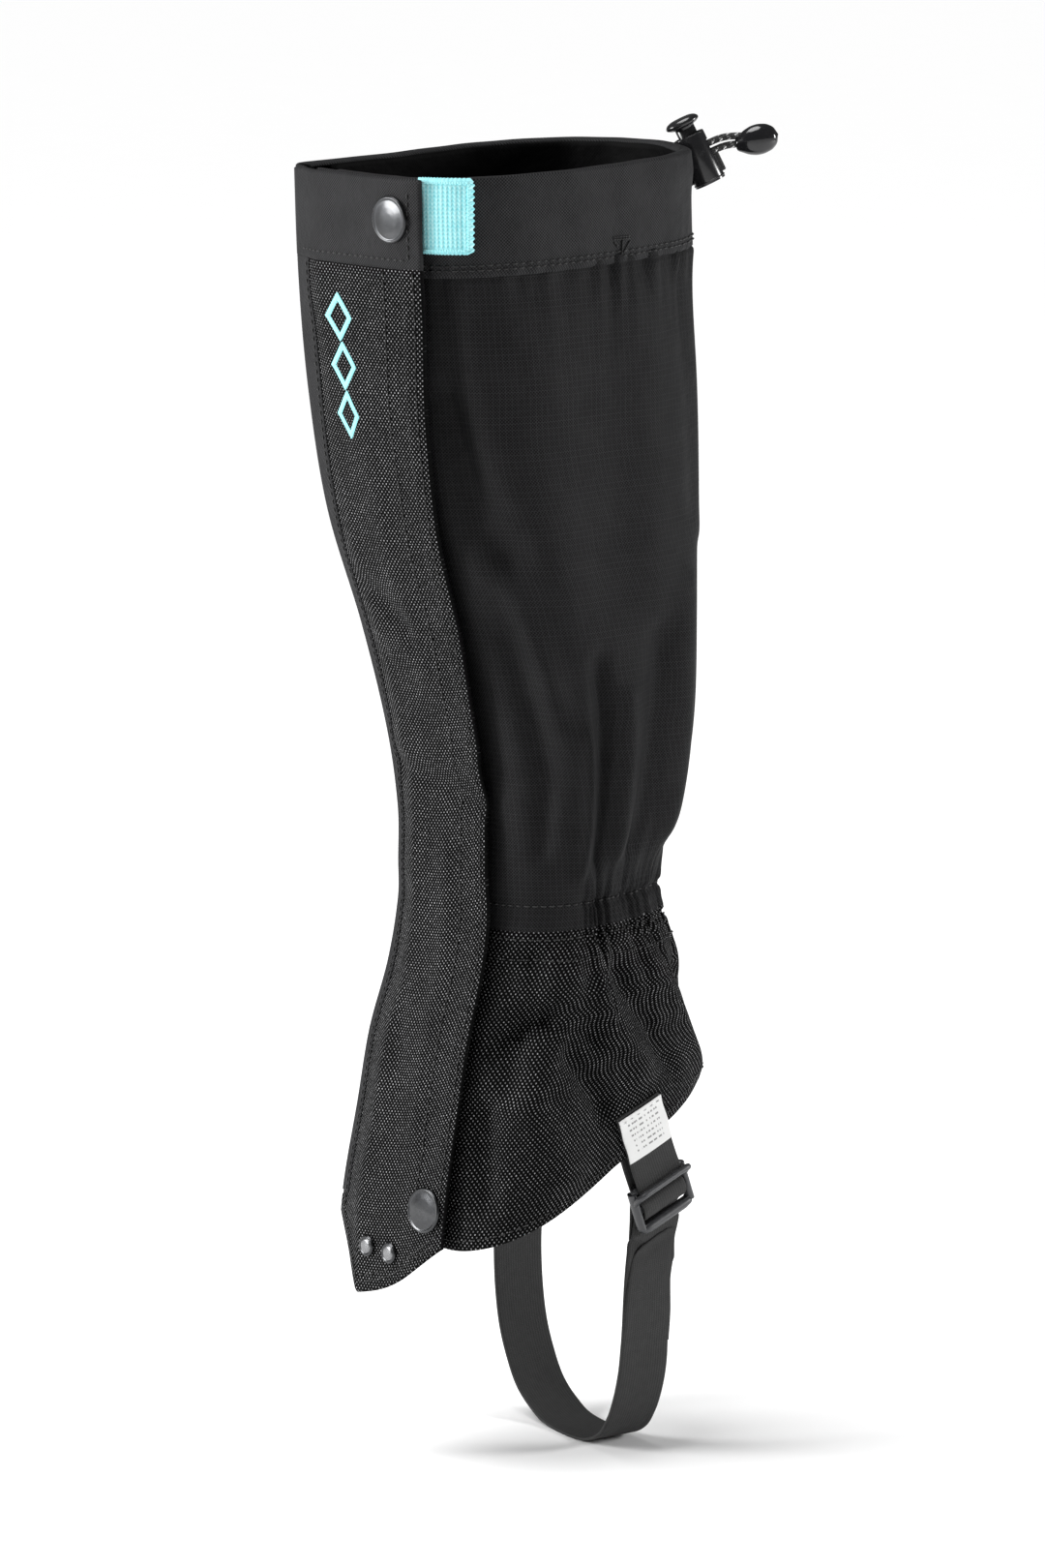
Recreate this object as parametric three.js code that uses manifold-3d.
// A knee-high mountaineering gaiter for the left leg, as separate sewn and moulded pieces.
// Millimetres. +Z up the leg, -Y to the toe, +X to the outer side of the left leg.
// The origin is on the leg's axis, level with the middle of the elastic ankle line.
import * as THREE from "three";
import { mergeVertices } from "three/addons/utils/BufferGeometryUtils.js";
import Module from "manifold-3d";

const wasm = await Module();
wasm.setup();

const DEG = Math.PI / 180;

// Overall heights.
const rimZ = 276;                // top edge of the collar at the toe side
const rimRise = 6;               // how much higher the collar stands at the heel side
const collarDepth = 35;          // rim to the collar's stitch line
const ankleSeamZ = -5.5;         // seam between the light upper and the heavy lower cloth
const hemFrontZ = -122.5;        // hem beside the closing flap
const hemRearZ = -66;            // hem over the heel
const flapCollarDepth = 31;      // rim to the stitch line on the flap
const flapCornerZ = -120;        // flap's lower corner on its sewn side
const flapTipZ = -147;           // flap's pointed lower end
const flapFootZ = -121;          // flap's lower end at its free edge

// Cloth and tape thicknesses, and the air left between pieces that touch.
const lightCloth = 1.1;
const heavyCloth = 1.4;
const tapeThick = 0.8;
const webThick = 1.3;
const seamGap = 0.4;
const layerGap = 0.45;

// Widths.
const strapWidth = 22;           // instep webbing
const pullTabWidth = 25;

// Horizontal section of the sleeve: half extents from the leg's axis, by height.
const axisX = 1;
const sectionKeys = [
  { z: -165, front: 60, rear: 62, lateral: 47, medial: 48 },
  { z: -117, front: 56, rear: 65, lateral: 47.5, medial: 49.5 },
  { z: -76, front: 49.5, rear: 67, lateral: 48, medial: 46.5 },
  { z: -50, front: 44.5, rear: 60.5, lateral: 46.5, medial: 45.5 },
  { z: -24, front: 37.5, rear: 56, lateral: 42.5, medial: 42.5 },
  { z: 0, front: 33.5, rear: 47, lateral: 37, medial: 41 },
  { z: 14, front: 33, rear: 48, lateral: 38, medial: 41.5 },
  { z: 34, front: 32, rear: 57, lateral: 43, medial: 43 },
  { z: 64, front: 35, rear: 62, lateral: 47, medial: 46 },
  { z: 105, front: 45, rear: 63, lateral: 49, medial: 49 },
  { z: 149, front: 59.5, rear: 63, lateral: 49, medial: 51 },
  { z: 193, front: 67, rear: 62, lateral: 48, medial: 52.5 },
  { z: 236, front: 70.5, rear: 59, lateral: 47, medial: 53.8 },
  { z: 290, front: 72, rear: 58, lateral: 46, medial: 54.5 },
];
const cornerPower = 14;          // toe side towards the inner ankle: almost a square corner
const toePower = 3;
const heelPower = 2.7;
const innerPower = 2.2;

// Angles round the section, counter-clockwise from above, 270 at the toe and 360 at the outer side.
const flapSeamAngle = 228;
const bodyEdgeAngle = 236;       // sleeve's front edge, under the flap
const heelAngle = 450;
const innerSeamAngle = 592;      // the inner half ends just round the corner, under the flap's seam
const cornerLines = [582, 585, 588];

// Places on the toe side, by x and height.
const snapTop = { x: 13, z: 262 };
const snapFoot = { x: 11, z: -109.5 };
const hookAt = { x: -13.7, z: -129 };
const rivetSpacing = 13.4;
const rivetRadius = 1.3;
const postRadius = 1.6;

// Outer side: webbing anchor and buckle hang in a frame turned about X.
const buckleLean = 20 * DEG;
const buckleAt = new THREE.Vector3(48, 21, -102.6);
const buckle = { wide: 27.4, top: 1.6, foot: -18, thick: 2.6, slotWide: 23.4 };
const buckleSlots = [{ high: -1.3, low: -6.2 }, { high: -9.2, low: -14.4 }];
const anchorThick = 1.1;

// Cord lock: frame of the barrel, leaning over the collar.
const lockAt = new THREE.Vector3(22.3, 69, 267.2);
const lockYaw = 50 * DEG;
const lockLean = 26 * DEG;
const barrel = { long: 19, wide: 12, deep: 9.4, boreWide: 8.2, boreDeep: 5.8, floor: 1.5 };
const cordHole = { low: 8.6, high: 15.4, deep: 3.6 };
const buttonTravel = 3;
const cordDiameter = 2.8;

const colours = {
  lightCloth: 0x33343a,
  heavyCloth: 0x232429,
  webbing: 0x2a2b2e,
  turquoise: 0x4fc3cf,
  nickel: 0xb9bcc0,
  gunmetal: 0x55585c,
  plastic: 0x3c3e42,
  blackPlastic: 0x101114,
  label: 0xe8e8e4,
  cord: 0x26272a,
  tape: 0x17181a,
};

// ---------------------------------------------------------------- helpers

function finish(geometry) {
  geometry.deleteAttribute("uv");
  geometry.deleteAttribute("normal");
  const welded = mergeVertices(geometry, 1e-4);
  welded.computeVertexNormals();
  return welded;
}

function piece(name, geometry, colour, roughness, metalness = 0) {
  const material = new THREE.MeshStandardMaterial({ color: colour, roughness, metalness });
  const mesh = new THREE.Mesh(geometry, material);
  mesh.name = name;
  return mesh;
}

function lerp(a, b, t) {
  return a + (b - a) * t;
}

function smooth(a, b, x) {
  return THREE.MathUtils.smoothstep(x, a, b);
}

// Cubic through the section keys, with slopes from the neighbours.
function sectionAt(z) {
  const last = sectionKeys.length - 2;
  let i = 0;
  while (i < last && sectionKeys[i + 1].z < z) {
    i += 1;
  }
  const k0 = sectionKeys[Math.max(i - 1, 0)];
  const k1 = sectionKeys[i];
  const k2 = sectionKeys[i + 1];
  const k3 = sectionKeys[Math.min(i + 2, last + 1)];
  const span = k2.z - k1.z;
  const t = (z - k1.z) / span;
  const found = {};
  for (const side of ["front", "rear", "lateral", "medial"]) {
    const m1 = ((k2[side] - k0[side]) / (k2.z - k0.z)) * span;
    const m2 = ((k3[side] - k1[side]) / (k3.z - k1.z)) * span;
    const a = 2 * k1[side] - 2 * k2[side] + m1 + m2;
    const b = -3 * k1[side] + 3 * k2[side] - 2 * m1 - m2;
    found[side] = ((a * t + b) * t + m1) * t + k1[side];
  }
  return found;
}

function sectionPoint(angle, z) {
  const key = sectionAt(z);
  const c = Math.cos(angle * DEG);
  const s = Math.sin(angle * DEG);
  const a = c > 0 ? key.lateral : key.medial;
  const b = s > 0 ? key.rear : key.front;
  const sidePower = s > 0 ? heelPower : toePower;
  const innerSide = s > 0 ? innerPower : cornerPower;
  const power = c > 0 ? sidePower : innerSide;
  const reach = Math.pow(Math.abs(c) ** power + Math.abs(s) ** power, -1 / power);
  return new THREE.Vector2(axisX + a * reach * c, b * reach * s);
}

// A point of the sleeve's surface, pushed out along the section's own normal.
function skinPoint(angle, z, out) {
  const step = 0.5;
  const p = sectionPoint(angle, z);
  const t = sectionPoint(angle + step, z).sub(sectionPoint(angle - step, z)).normalize();
  return new THREE.Vector3(p.x + t.y * out, p.y - t.x * out, z);
}

// The angle on the toe side at which the section crosses a given x.
function angleAtX(x, z) {
  const key = sectionAt(z);
  const power = x > axisX ? toePower : cornerPower;
  const a = x > axisX ? key.lateral : key.medial;
  const f = Math.min(Math.abs(x - axisX) / a, 0.999);
  const g = Math.pow(1 - f ** power, 1 / power);
  return 270 + (Math.sign(x - axisX) * Math.atan2(f, g)) / DEG;
}

// A shell of cloth: angleOf and heightOf place its grid, inner and outer are its two offsets.
function clothPanel({ angleOf, heightOf, inner, outer, columns, rows }) {
  const box = new THREE.BoxGeometry(1, 1, 1, columns, rows, 1);
  const at = box.attributes.position;
  for (let i = 0; i < at.count; i += 1) {
    const u = at.getX(i) + 0.5;
    const v = at.getY(i) + 0.5;
    const z = heightOf(u, v);
    const out = at.getZ(i) > 0 ? outer(u, v) : inner(u, v);
    const p = skinPoint(angleOf(u, z), z, out);
    at.setXYZ(i, p.x, p.y, p.z);
  }
  return finish(box);
}

// A flat band through a list of points; across gives its width direction at each point.
function ribbon(points, across, width, thick) {
  const count = points.length;
  const box = new THREE.BoxGeometry(1, 1, 1, count - 1, 1, 1);
  const at = box.attributes.position;
  for (let i = 0; i < at.count; i += 1) {
    const n = Math.round((at.getX(i) + 0.5) * (count - 1));
    const before = points[n].clone().sub(points[Math.max(n - 1, 0)]);
    const after = points[Math.min(n + 1, count - 1)].clone().sub(points[n]);
    const first = n === 0 ? after : before;
    const second = n === count - 1 ? before : after;
    const tangent = first.clone().normalize().add(second.clone().normalize()).normalize();
    const side = across(n);
    const normal = tangent.clone().cross(side).normalize();
    const mitre = 1 / Math.max(tangent.dot(second.clone().normalize()), 0.6);
    const p = points[n].clone();
    p.addScaledVector(side, at.getY(i) * width);
    p.addScaledVector(normal, at.getZ(i) * thick * mitre);
    at.setXYZ(i, p.x, p.y, p.z);
  }
  return finish(box);
}

function turned(profile, segments) {
  const points = profile.map(([r, h]) => new THREE.Vector2(r, h));
  const lathe = new THREE.LatheGeometry(points, segments);
  lathe.rotateX(Math.PI / 2);
  return finish(lathe);
}

function toSolid(geometry) {
  const vertProperties = Float32Array.from(geometry.attributes.position.array);
  const triVerts = Uint32Array.from(geometry.index.array);
  return new wasm.Manifold(new wasm.Mesh({ numProp: 3, vertProperties, triVerts }));
}

function fromSolid(solid) {
  const mesh = solid.getMesh();
  const geometry = new THREE.BufferGeometry();
  geometry.setAttribute("position", new THREE.BufferAttribute(mesh.vertProperties, 3));
  geometry.setIndex(new THREE.BufferAttribute(mesh.triVerts, 1));
  geometry.computeVertexNormals();
  return geometry;
}

function cut(geometry, tools) {
  let solid = toSolid(geometry);
  for (const tool of tools) {
    solid = solid.subtract(toSolid(tool));
  }
  return fromSolid(solid);
}

function extruded(shape, depth, curveSegments, bevel = 0) {
  const geometry = new THREE.ExtrudeGeometry(shape, {
    depth: depth - 2 * bevel,
    steps: 1,
    curveSegments,
    bevelEnabled: bevel > 0,
    bevelThickness: bevel,
    bevelSize: bevel,
    bevelOffset: -bevel,
    bevelSegments: 1,
  });
  geometry.translate(0, 0, bevel);
  return finish(geometry);
}

function roundRect(wide, tall, radius) {
  const shape = new THREE.Shape();
  const x = wide / 2;
  const y = tall / 2;
  shape.moveTo(-x + radius, -y);
  shape.lineTo(x - radius, -y);
  shape.absarc(x - radius, -y + radius, radius, -Math.PI / 2, 0, false);
  shape.lineTo(x, y - radius);
  shape.absarc(x - radius, y - radius, radius, 0, Math.PI / 2, false);
  shape.lineTo(-x + radius, y);
  shape.absarc(-x + radius, y - radius, radius, Math.PI / 2, Math.PI, false);
  shape.lineTo(-x, -y + radius);
  shape.absarc(-x + radius, -y + radius, radius, Math.PI, 1.5 * Math.PI, false);
  return shape;
}

function ellipseShape(wide, deep) {
  const shape = new THREE.Shape();
  shape.absellipse(0, 0, wide / 2, deep / 2, 0, 2 * Math.PI, false);
  return shape;
}

function roundCord(points, diameter, sides, steps) {
  const circle = new THREE.Shape();
  for (let i = 0; i < sides; i += 1) {
    const a = (i / sides) * 2 * Math.PI;
    const x = (Math.cos(a) * diameter) / 2;
    const y = (Math.sin(a) * diameter) / 2;
    if (i === 0) {
      circle.moveTo(x, y);
    } else {
      circle.lineTo(x, y);
    }
  }
  circle.closePath();
  const path = new THREE.CatmullRomCurve3(points);
  return finish(new THREE.ExtrudeGeometry(circle, { steps, extrudePath: path, bevelEnabled: false }));
}

// ---------------------------------------------------------------- sleeve

function rimAt(angle) {
  return rimZ + (rimRise / 2) * (1 + Math.sin(angle * DEG));
}

// The hem is lowest beside the flap and rises alike on both sides to the heel.
function hemAt(angle) {
  const folded = angle <= heelAngle ? angle : 2 * heelAngle - angle;
  return lerp(hemFrontZ, hemRearZ, smooth(290, 430, folded));
}

// Every layer round the leg shares these grid lines, so that layers keep their distance.
function angleLines(from, to) {
  const step = 10;
  const lines = [from];
  for (let angle = Math.ceil(from / step + 0.2) * step; angle < to - 0.2 * step; angle += step) {
    lines.push(angle);
  }
  lines.push(...cornerLines.filter((angle) => angle > from && angle < to), to);
  return lines.sort((a, b) => a - b);
}

// Crowding above 1 packs the rows towards the lower edge.
function sleevePanel(from, to, lowOf, highOf, face, thick, rows, crowding = 1) {
  const lines = angleLines(from, to);
  const columns = lines.length - 1;
  const angleOf = (u) => lines[Math.round(u * columns)];
  return clothPanel({
    angleOf,
    heightOf: (u, v) => lerp(lowOf(angleOf(u)), highOf(angleOf(u)), v ** crowding),
    inner: () => face - thick,
    outer: () => face,
    columns,
    rows,
  });
}

function makeSleeve(group, frames) {
  const heelGap = 0.25;          // half the gap at the heel seam, in degrees
  const collarSeam = (angle) => rimAt(angle) - collarDepth - seamGap;
  const upperLow = () => ankleSeamZ + seamGap / 2;
  const lowerHigh = () => ankleSeamZ - seamGap / 2;
  const outerEnd = heelAngle - heelGap;
  const innerStart = heelAngle + heelGap;
  const upperOuter = sleevePanel(bodyEdgeAngle, outerEnd, upperLow, collarSeam, 0, lightCloth, 10, 1.5);
  const upperInner = sleevePanel(innerStart, innerSeamAngle, upperLow, collarSeam, 0, lightCloth, 10, 1.5);
  const lowerOuter = sleevePanel(bodyEdgeAngle, outerEnd, hemAt, lowerHigh, 0, heavyCloth, 6);
  const lowerInner = sleevePanel(innerStart, innerSeamAngle, hemAt, lowerHigh, 0, heavyCloth, 6);
  group.add(piece("upper_panel_outer", upperOuter, colours.lightCloth, 0.85));
  group.add(piece("upper_panel_inner", upperInner, colours.lightCloth, 0.85));
  const footHole = drill(frames.foot, postRadius + 0.35);
  group.add(piece("lower_panel_outer", cut(lowerOuter, [footHole]), colours.heavyCloth, 0.95));
  group.add(piece("lower_panel_inner", lowerInner, colours.heavyCloth, 0.95));
}

// Collar: an outer band and a facing, with the drawcord between them.
function makeCollar(group, frames) {
  const cordSpace = cordDiameter + 2 * layerGap;
  const low = (angle) => rimAt(angle) - collarDepth;
  const facingLow = (angle) => low(angle) + 2;
  const facingHigh = (angle) => rimAt(angle) - 1;
  const facingFace = -lightCloth - cordSpace;
  const facingEnd = innerSeamAngle - 14;
  const band = sleevePanel(bodyEdgeAngle, innerSeamAngle, low, rimAt, 0, lightCloth, 2);
  const facing = sleevePanel(250, facingEnd, facingLow, facingHigh, facingFace, tapeThick, 1);
  const route = [];
  const stretch = { from: 430, to: 574, depth: 8, points: 18 };
  for (let i = 0; i <= stretch.points; i += 1) {
    const angle = lerp(stretch.from, stretch.to, i / stretch.points);
    route.push(skinPoint(angle, rimAt(angle) - stretch.depth, -lightCloth - cordSpace / 2));
  }
  const topHole = drill(frames.top, postRadius + 0.35);
  group.add(piece("collar_band", cut(band, [topHole]), colours.lightCloth, 0.85));
  group.add(piece("collar_facing", facing, colours.lightCloth, 0.85));
  group.add(piece("collar_drawcord", roundCord(route, cordDiameter, 8, 36), colours.cord, 0.8));
}

// Ankle: the elastic runs round the heel half, covered on the inside by a casing tape.
function makeAnkle(group) {
  const reach = { from: 350, to: 560 };
  const elasticFace = -heavyCloth - layerGap;
  const casingFace = elasticFace - webThick - layerGap;
  const band = (half, face, thick, rows) =>
    sleevePanel(reach.from, reach.to, () => -half, () => half, face, thick, rows);
  group.add(piece("ankle_elastic", band(4, elasticFace, webThick, 2), colours.tape, 0.9));
  group.add(piece("ankle_casing", band(8, casingFace, tapeThick, 4), colours.lightCloth, 0.85));
}

// ---------------------------------------------------------------- storm flap

// The free edge runs nearest the seam just above the ankle.
function flapFreeX(z) {
  return z > 40 ? lerp(17.3, 24, smooth(40, 230, z)) : lerp(20, 17.3, smooth(-30, 40, z));
}

// Air between the sleeve and the flap's inner face, from the seam (u = 0) to the free edge.
function flapLift(u) {
  return layerGap + 4 * smooth(0, 0.2, u);
}

function flapAngle(u, z) {
  return lerp(flapSeamAngle, angleAtX(flapFreeX(z), z), u);
}

// Lower edge: down from the sewn corner to the tip, then a shallow arc up to the free edge.
function flapLow(u) {
  const tipU = 0.2;
  if (u < tipU) {
    return lerp(flapCornerZ, flapTipZ, u / tipU);
  }
  const t = (u - tipU) / (1 - tipU);
  return lerp(flapTipZ, flapFootZ, t) - 4 * Math.sin(Math.PI * t);
}

// A layer of the flap between two fractions of its width, at a given offset from its inner face.
function flapLayer(from, to, low, high, offset, thick, columns, rows) {
  const across = (u) => lerp(from, to, u);
  return clothPanel({
    angleOf: (u, z) => flapAngle(across(u), z),
    heightOf: (u, v) => lerp(low(across(u)), high, v),
    inner: (u) => flapLift(across(u)) + offset,
    outer: (u) => flapLift(across(u)) + offset + thick,
    columns,
    rows,
  });
}

function makeFlap(group, frames) {
  const stitchZ = rimZ - flapCollarDepth;
  const liningOffset = -layerGap - tapeThick;
  const hookOffset = liningOffset - layerGap - tapeThick;
  const tape = { from: 0.62, to: 0.88, low: -92, high: 236 };
  const cloth = flapLayer(0, 1, flapLow, stitchZ - seamGap, 0, heavyCloth, 10, 22);
  const collar = flapLayer(0, 1, () => stitchZ, rimZ, 0, heavyCloth, 10, 2);
  const lining = flapLayer(0.34, 0.96, () => -117, rimZ - 2, liningOffset, tapeThick, 6, 22);
  const hookTape = flapLayer(tape.from, tape.to, () => tape.low, tape.high, hookOffset, tapeThick, 2, 24);
  const loopTape = clothPanel({
    angleOf: (u, z) => flapAngle(lerp(tape.from - 0.02, tape.to + 0.02, u), z),
    heightOf: (u, v) => lerp(tape.low, tape.high, v),
    inner: () => layerGap,
    outer: () => layerGap + tapeThick,
    columns: 2,
    rows: 24,
  });
  const rivets = [-1, 1].map((side) => drill(frames.hook, rivetRadius + 0.3, (side * rivetSpacing) / 2));
  const foot = drill(frames.foot, postRadius + 0.35);
  const top = drill(frames.top, postRadius + 0.35);
  group.add(piece("storm_flap", cut(cloth, [foot, ...rivets]), colours.heavyCloth, 0.95));
  group.add(piece("flap_collar", cut(collar, [top]), colours.lightCloth, 0.85));
  group.add(piece("flap_lining", cut(lining, [top, foot]), colours.heavyCloth, 0.9));
  group.add(piece("flap_hook_tape", hookTape, colours.tape, 1));
  group.add(piece("sleeve_loop_tape", loopTape, colours.tape, 1));
}

// A group at a point of the toe side, its +Z pointing out of the cloth and its +Y up.
function toeFrame(at) {
  const angle = angleAtX(at.x, at.z);
  const origin = skinPoint(angle, at.z, 0);
  const away = skinPoint(angle, at.z, 1).sub(origin);
  const up = skinPoint(angleAtX(at.x, at.z + 4), at.z + 4, 0).sub(origin).normalize();
  const right = up.clone().cross(away).normalize();
  const outward = right.clone().cross(up).normalize();
  const frame = new THREE.Group();
  frame.quaternion.setFromRotationMatrix(new THREE.Matrix4().makeBasis(right, up, outward));
  frame.position.copy(origin);
  frame.updateMatrix();
  return frame;
}

// A round cutter along a frame's +Z, long enough to go through every layer.
function drill(frame, radius, x = 0) {
  const rod = new THREE.CylinderGeometry(radius, radius, 24, 12);
  rod.rotateX(Math.PI / 2);
  rod.translate(x, 0, 0);
  rod.applyMatrix4(frame.matrix);
  return finish(rod);
}

// Press stud. Heights run out of the cloth: cap and post, socket, stud with its post, inner eyelet.
function makeSnap(group, name, frame, sleeveThick) {
  const sides = 16;
  const capFoot = flapLift(1) + heavyCloth + 0.35;
  const socketTop = flapLift(1) - layerGap - tapeThick - 0.65;
  const cap = turned([
    [0, socketTop + 0.3],
    [postRadius, socketTop + 0.3],
    [postRadius, capFoot],
    [7.6, capFoot],
    [8.5, capFoot + 0.6],
    [7.9, capFoot + 1.5],
    [5, capFoot + 2.3],
    [0, capFoot + 2.6],
  ], sides);
  const socket = turned([
    [0, socketTop - 0.4],
    [2.5, socketTop - 0.4],
    [2.8, socketTop - 1.1],
    [5.5, socketTop - 1.1],
    [6, socketTop],
    [0, socketTop],
  ], sides);
  const eyeletTop = -sleeveThick - 0.6;
  const stud = turned([
    [0, eyeletTop + 0.3],
    [postRadius, eyeletTop + 0.3],
    [postRadius, layerGap],
    [5.2, layerGap],
    [5.2, layerGap + 0.5],
    [1.9, layerGap + 0.5],
    [1.8, layerGap + 1.2],
    [0, layerGap + 1.4],
  ], sides);
  const eyelet = turned([
    [0, eyeletTop - 0.8],
    [4.4, eyeletTop - 0.8],
    [5, eyeletTop],
    [0, eyeletTop],
  ], sides);
  frame.add(piece(`${name}_snap_cap`, cap, colours.gunmetal, 0.3, 1));
  frame.add(piece(`${name}_snap_socket`, socket, colours.nickel, 0.35, 1));
  frame.add(piece(`${name}_snap_stud`, stud, colours.nickel, 0.35, 1));
  frame.add(piece(`${name}_snap_eyelet`, eyelet, colours.nickel, 0.35, 1));
  group.add(frame);
}

// Turns an extrusion so that its outline's x runs up a frame, its y outwards and its depth across.
function standing(geometry, x, y, z) {
  const basis = new THREE.Matrix4().makeBasis(x, y, z);
  geometry.applyMatrix4(basis);
  return geometry;
}

// Lace hook: a flat plate behind the flap's tip with a narrow tongue bent under it, and two rivets.
function makeLaceHook(group, frame) {
  const plateTop = flapLift(1) - 0.35;
  const thick = 1;
  const gap = 6;
  const tongueWidth = 8;
  const plateWidth = rivetSpacing + 8;
  const outline = new THREE.Shape();
  outline.moveTo(6, 0);
  outline.lineTo(-4, 0);
  outline.lineTo(-4, -2 * thick - gap);
  outline.lineTo(3.6, -2 * thick - gap);
  outline.lineTo(5.6, -thick - gap - 0.2);
  outline.lineTo(5, -thick - gap + 0.7);
  outline.lineTo(3.4, -thick - gap);
  outline.lineTo(-3, -thick - gap);
  outline.lineTo(-3, -thick);
  outline.lineTo(6, -thick);
  const across = new THREE.Vector3(1, 0, 0);
  const up = new THREE.Vector3(0, 1, 0);
  const out = new THREE.Vector3(0, 0, 1);
  const bent = standing(extruded(outline, plateWidth, 1), up, out, across);
  bent.translate(-plateWidth / 2, 0, plateTop);
  const trims = [-1, 1].map((side) => {
    const wide = plateWidth;
    const block = new THREE.BoxGeometry(wide, 30, 12);
    block.translate(side * (wide / 2 + tongueWidth / 2), 0, plateTop - thick - 6);
    return finish(block);
  });
  const holes = [-1, 1].map((side) => {
    const rod = new THREE.CylinderGeometry(rivetRadius + 0.3, rivetRadius + 0.3, 8, 12);
    rod.rotateX(Math.PI / 2);
    rod.translate((side * rivetSpacing) / 2, 0, plateTop);
    return finish(rod);
  });
  frame.add(piece("lace_hook", cut(bent, [...trims, ...holes]), colours.nickel, 0.35, 1));
  const face = flapLift(1) + heavyCloth + 0.3;
  const foot = plateTop - thick - 0.3;
  for (const [side, name] of [[-1, "hook_rivet_inner"], [1, "hook_rivet_outer"]]) {
    const rivet = turned([
      [0, foot - 0.7],
      [2.2, foot - 0.7],
      [2.2, foot],
      [rivetRadius, foot],
      [rivetRadius, face],
      [3.4, face],
      [3.1, face + 0.9],
      [1.8, face + 1.6],
      [0, face + 1.8],
    ], 14);
    const mesh = piece(name, rivet, colours.nickel, 0.3, 1);
    mesh.position.x = (side * rivetSpacing) / 2;
    frame.add(mesh);
  }
  group.add(frame);
}

// Pull tab: a folded end of bright webbing that stands out from the flap's free edge.
function makePullTab(group) {
  const reach = { from: 23.2, to: 36.5 };
  const tab = clothPanel({
    angleOf: (u, z) => lerp(angleAtX(reach.from, z), angleAtX(reach.to, z), u),
    heightOf: (u, v) => lerp(rimZ - pullTabWidth, rimZ, v),
    inner: () => 0.8,
    outer: () => 3,
    columns: 6,
    rows: 1,
  });
  group.add(piece("pull_tab", tab, colours.turquoise, 0.7));
}

// ---------------------------------------------------------------- instep strap and buckle

function makeBuckle(group) {
  const frame = new THREE.Group();
  frame.position.copy(buckleAt);
  frame.rotation.x = buckleLean;
  const height = buckle.top - buckle.foot;
  const outline = roundRect(buckle.wide, height, 5);
  for (const slot of buckleSlots) {
    const hole = roundRect(buckle.slotWide, slot.high - slot.low, 1);
    const middle = (slot.high + slot.low) / 2 - (buckle.top + buckle.foot) / 2;
    outline.holes.push(new THREE.Path(hole.getPoints(3).map((p) => p.add(new THREE.Vector2(0, middle)))));
  }
  const x = new THREE.Vector3(0, 1, 0);
  const y = new THREE.Vector3(0, 0, 1);
  const z = new THREE.Vector3(1, 0, 0);
  const ladder = standing(extruded(outline, buckle.thick, 4), x, y, z);
  ladder.translate(-buckle.thick / 2, 0, (buckle.top + buckle.foot) / 2);
  const local = (list) => list.map(([px, pz, py = 0]) => new THREE.Vector3(px, py, pz));
  const wrap = 2.6;
  const anchorRoute = [[-2.9, 30], [-2.9, 8], [-wrap, 1.5]];
  for (let i = 0; i <= 6; i += 1) {
    const a = Math.PI * (1 + i / 6);
    anchorRoute.push([wrap * Math.cos(a), wrap * Math.sin(a)]);
  }
  anchorRoute.push([2.5, 3], [2.1, 9], [2, 32]);
  const loopRoute = [
    [-5.2, -24, -6], [-5.2, -17, -3], [-5.1, -10, -0.5], [-4.4, -6.6], [-2.6, -4.9], [0, -4.75],
    [1.7, -5.4], [2.5, -7.2], [2.3, -9.6], [1, -11.6], [-1, -12.8], [-2.4, -14, -0.7],
    [-2.6, -16, -2], [-2.6, -20, -5], [-2.6, -24, -8],
  ];
  const along = () => new THREE.Vector3(0, 1, 0);
  const anchor = ribbon(local(anchorRoute), along, strapWidth, anchorThick);
  const topLoop = ribbon(local(loopRoute), along, strapWidth, webThick);
  const label = finish(new THREE.BoxGeometry(0.4, strapWidth, 18));
  label.translate(3.2, 0, 22);
  frame.add(piece("strap_buckle", ladder, colours.plastic, 0.5));
  frame.add(piece("buckle_anchor_strap", anchor, colours.webbing, 0.9));
  frame.add(piece("instep_strap_top_loop", topLoop, colours.webbing, 0.9));
  frame.add(piece("care_label", label, colours.label, 0.8));
  group.add(frame);
}

// The instep webbing, from the buckle under the boot to the inner side, where its end is sewn in.
function makeInstepStrap(group) {
  const outerSide = [
    [45.4, 21.9, -128.8], [46.2, 20.1, -133.5], [47, 18.4, -140], [47.6, 17.2, -148], [47.8, 16.6, -157],
    [47.2, 16.6, -166], [45.4, 17.2, -177], [41.8, 18.2, -187.5], [36.6, 19.4, -197.4], [29, 20.8, -206],
  ];
  const sole = [[16, 22.6, -211], [-6, 25.2, -211]];
  const innerSide = [
    [-18, 26.8, -207], [-27.6, 28, -200.5], [-34.5, 29, -191], [-39.5, 29.6, -180], [-42.4, 30, -167],
    [-43.4, 30, -152], [-43, 30, -136], [-41.6, 29.9, -120], [-39.2, 29.6, -104], [-37.2, 29.2, -90],
    [-36.7, 29.1, -78], [-36.7, 29.1, -60],
  ];
  const route = [...outerSide, ...sole, ...innerSide].map((p) => new THREE.Vector3(...p));
  const atBuckle = new THREE.Vector3(0, Math.cos(buckleLean), Math.sin(buckleLean));
  const under = new THREE.Vector3(0.13, 0.99, 0);
  const atSeam = new THREE.Vector3(0.32, 0.95, 0);
  const last = route.length - 1;
  const across = (n) => {
    const side = atBuckle.clone().lerp(under, smooth(0, 5, n));
    return side.lerp(atSeam, smooth(last - 5, last - 2, n)).normalize();
  };
  group.add(piece("instep_strap", ribbon(route, across, strapWidth, webThick), colours.webbing, 0.9));
}

// ---------------------------------------------------------------- cord lock

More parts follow.
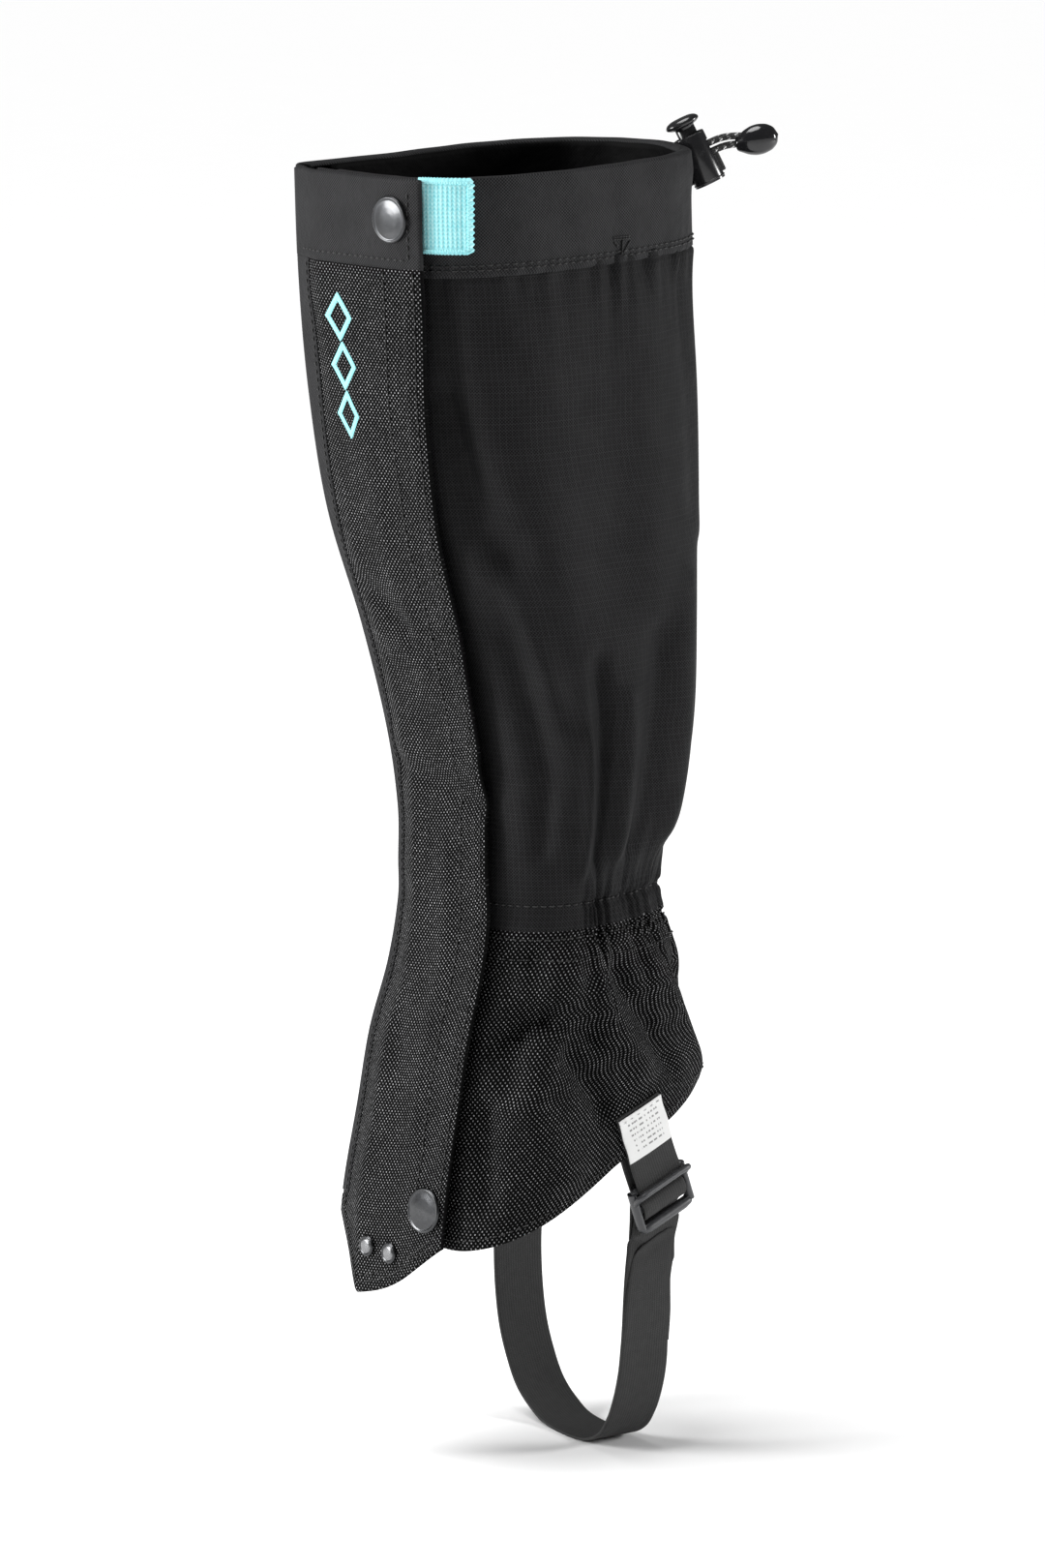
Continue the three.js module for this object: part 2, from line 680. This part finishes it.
function lockFrame() {
  const sideways = new THREE.Vector3(Math.cos(lockYaw), Math.sin(lockYaw), 0);
  const up = new THREE.Vector3(0, 0, 1);
  const axis = up.clone().multiplyScalar(Math.cos(lockLean)).addScaledVector(sideways, -Math.sin(lockLean));
  const cordWay = sideways.multiplyScalar(Math.cos(lockLean)).addScaledVector(up, Math.sin(lockLean));
  const frame = new THREE.Group();
  const turn = new THREE.Matrix4().makeBasis(cordWay, axis.clone().cross(cordWay), axis);
  frame.quaternion.setFromRotationMatrix(turn);
  frame.position.copy(lockAt);
  frame.updateMatrix();
  return frame;
}

function makeBarrel(frame) {
  const body = toSolid(extruded(ellipseShape(barrel.wide, barrel.deep), barrel.long, 12));
  const lug = new THREE.BoxGeometry(6, 5, 10.6);
  lug.translate(0, 6.3, 5.3);
  const bore = extruded(ellipseShape(barrel.boreWide, barrel.boreDeep), barrel.long, 10);
  bore.translate(0, 0, barrel.floor);
  const across = new THREE.BoxGeometry(20, cordHole.deep, cordHole.high - cordHole.low);
  across.translate(0, 0, (cordHole.high + cordHole.low) / 2);
  const tabSlot = new THREE.BoxGeometry(20, 2.6, 8.2);
  tabSlot.translate(0, 6.3, 5.3);
  let solid = body.add(toSolid(finish(lug)));
  for (const tool of [bore, finish(across), finish(tabSlot)]) {
    solid = solid.subtract(toSolid(tool));
  }
  frame.add(piece("lock_barrel", fromSolid(solid), colours.blackPlastic, 0.4));
}

function makeButton(frame) {
  const clearance = 0.3;
  const shaftFoot = barrel.floor + buttonTravel + 2;
  const neckTop = barrel.long + 4.5;
  const shaftShape = ellipseShape(barrel.boreWide - 2 * clearance, barrel.boreDeep - 2 * clearance);
  const shaft = extruded(shaftShape, neckTop - shaftFoot, 10);
  shaft.translate(0, 0, shaftFoot);
  const cap = turned([
    [0, 0],
    [5.2, 0],
    [6.6, 1],
    [6.4, 2.4],
    [4.6, 3.8],
    [0, 4.4],
  ], 18);
  cap.scale(1, 0.8, 1);
  cap.translate(0, 0, neckTop - 0.5);
  const slotHigh = cordHole.high + buttonTravel;
  const slot = new THREE.BoxGeometry(20, cordHole.deep, slotHigh - cordHole.low);
  slot.translate(0, 0, (slotHigh + cordHole.low) / 2);
  const solid = toSolid(shaft).add(toSolid(cap)).subtract(toSolid(finish(slot)));
  frame.add(piece("lock_button", fromSolid(solid), colours.blackPlastic, 0.35));
}

function makeSpring(frame) {
  const wire = 0.5;
  const low = barrel.floor + 0.3 + wire / 2;
  const high = barrel.floor + buttonTravel + 2 - 0.3 - wire / 2;
  const turns = 3;
  const points = [];
  for (let i = 0; i <= turns * 8; i += 1) {
    const a = (i / 8) * 2 * Math.PI;
    points.push(new THREE.Vector3(1.9 * Math.cos(a), 1.9 * Math.sin(a), lerp(low, high, i / (turns * 8))));
  }
  frame.add(piece("lock_spring", roundCord(points, wire, 5, turns * 10), colours.nickel, 0.3, 1));
}

// Anchor tab: a webbing loop from the collar through the lug on the back of the barrel.
function makeLockTab(group, frame) {
  const middle = 5.3;
  const width = 7.6;
  const local = [
    [-9.4, 0.6], [-7.6, 3.4], [-4.6, 5.5], [0, 5.72], [6.4, 5.72], [7, 6.3],
    [6.4, 6.88], [0, 6.88], [-5.2, 6.95], [-8.6, 5], [-10.6, 2.2],
  ];
  const points = local.map(([x, y]) => new THREE.Vector3(x, y, middle).applyMatrix4(frame.matrix));
  const axis = new THREE.Vector3(0, 0, 1).applyQuaternion(frame.quaternion);
  const up = new THREE.Vector3(0, 0, 1);
  const last = points.length - 1;
  const across = (n) => {
    const sewn = Math.max(1 - smooth(0, 2, n), smooth(last - 2, last, n));
    return axis.clone().lerp(up, sewn * 0.8).normalize();
  };
  group.add(piece("lock_anchor_tab", ribbon(points, across, width, 0.6), colours.webbing, 0.9));
}

// The drawcord's two free ends, from the collar through the lock to the bead that joins them.
function makeCordEnds(frame) {
  const spread = 1.65;
  const middle = (cordHole.low + cordHole.high) / 2;
  const route = [
    [-8.2, 0], [-4, 0], [0, 0], [4, 0], [7, 0], [10.5, -0.3], [14, -1.3], [18, -3.1], [21.4, -4.9],
  ];
  for (const [side, name] of [[1, "cord_end_upper"], [-1, "cord_end_lower"]]) {
    const points = route.map(([x, z]) => new THREE.Vector3(x, 0, middle + z + side * spread));
    frame.add(piece(name, roundCord(points, cordDiameter, 8, 14), colours.cord, 0.8));
  }
  const half = 8.2;
  const profile = [[0, 0], [3.4, 0]];
  for (let i = 1; i <= 7; i += 1) {
    const a = Math.PI * (0.2 + (0.8 * i) / 7);
    profile.push([i === 7 ? 0 : 5.7 * Math.sin(a), half * (0.81 - Math.cos(a))]);
  }
  const bead = turned(profile, 20);
  bead.rotateY(Math.PI / 2 + 11 * DEG);
  bead.translate(22.3, 0, middle - 5.2);
  frame.add(piece("cord_bead", bead, colours.blackPlastic, 0.15));
}

// ---------------------------------------------------------------- assembly

const gaiter = new THREE.Group();
const frames = { top: toeFrame(snapTop), foot: toeFrame(snapFoot), hook: toeFrame(hookAt) };
makeSleeve(gaiter, frames);
makeCollar(gaiter, frames);
makeAnkle(gaiter);
makeFlap(gaiter, frames);
makeSnap(gaiter, "top", frames.top, lightCloth);
makeSnap(gaiter, "foot", frames.foot, heavyCloth);
makeLaceHook(gaiter, frames.hook);
makePullTab(gaiter);
makeBuckle(gaiter);
makeInstepStrap(gaiter);

const lock = lockFrame();
makeBarrel(lock);
makeButton(lock);
makeSpring(lock);
makeCordEnds(lock);
makeLockTab(gaiter, lock);
gaiter.add(lock);

export default gaiter;
